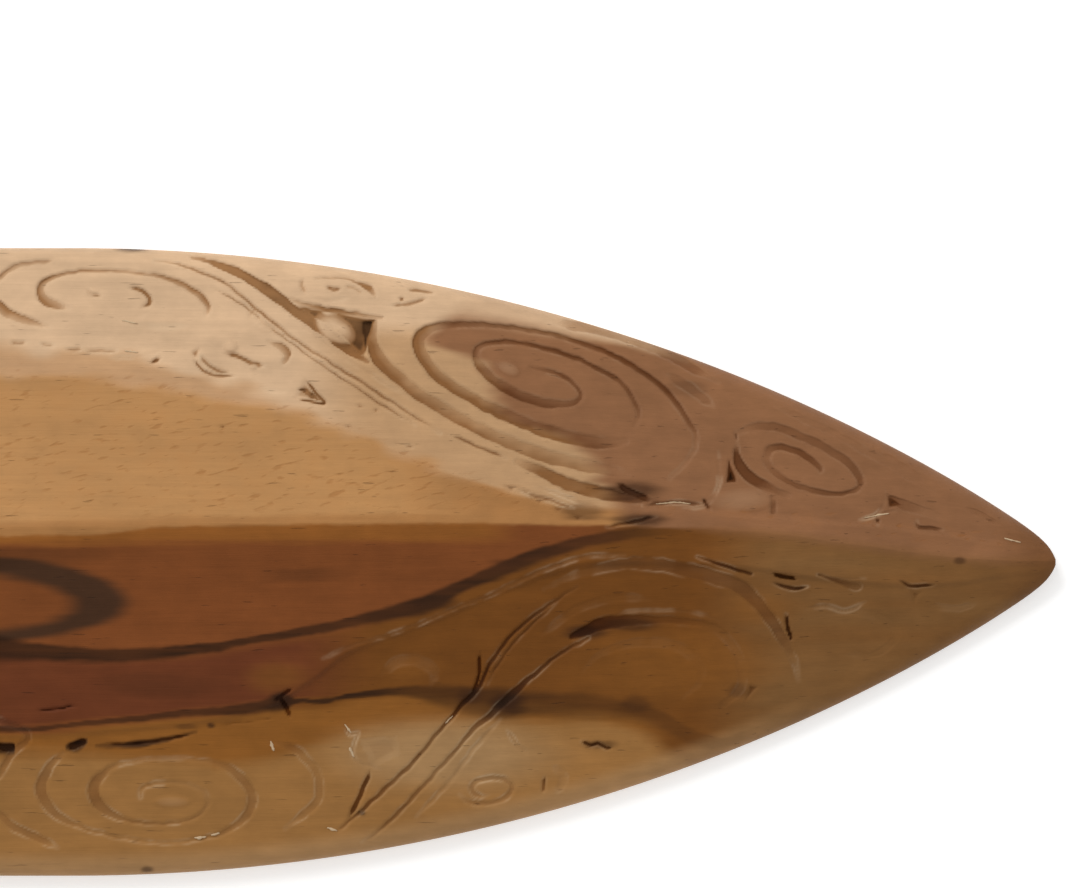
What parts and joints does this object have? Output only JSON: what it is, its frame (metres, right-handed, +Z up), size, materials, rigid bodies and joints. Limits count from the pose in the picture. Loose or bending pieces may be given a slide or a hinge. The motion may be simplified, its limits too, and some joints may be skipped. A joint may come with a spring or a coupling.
{
  "type": "boomerang",
  "caption": "Carved hardwood boomerang: ridged blade with bordered spiral carving, two arms half-lapped and pegged at the elbow, flat underside.",
  "frame": {"origin": "centre of the bounding box at the flat underside", "axes": "+X along the span from tip to tip, +Y towards the elbow's outer side, +Z up, out of the carved face"},
  "size_m": [0.4756, 0.167, 0.0165],
  "materials": {
    "blade_wood": "oiled, hand polished by handling",
    "peg_wood": "end grain, cut flush and oiled",
    "glue": "dull, dark film",
    "lime": "chalky, dry"
  },
  "bodies": {
    "root": {"right_arm": "blade_wood", "left_arm": "blade_wood", "lap_glue": "glue", "lap_peg_1": "peg_wood", "lap_peg_2": "peg_wood", "lap_peg_3": "peg_wood", "lap_peg_4": "peg_wood", "right_lime": "lime", "left_lime": "lime"}
  },
  "joints": []
}
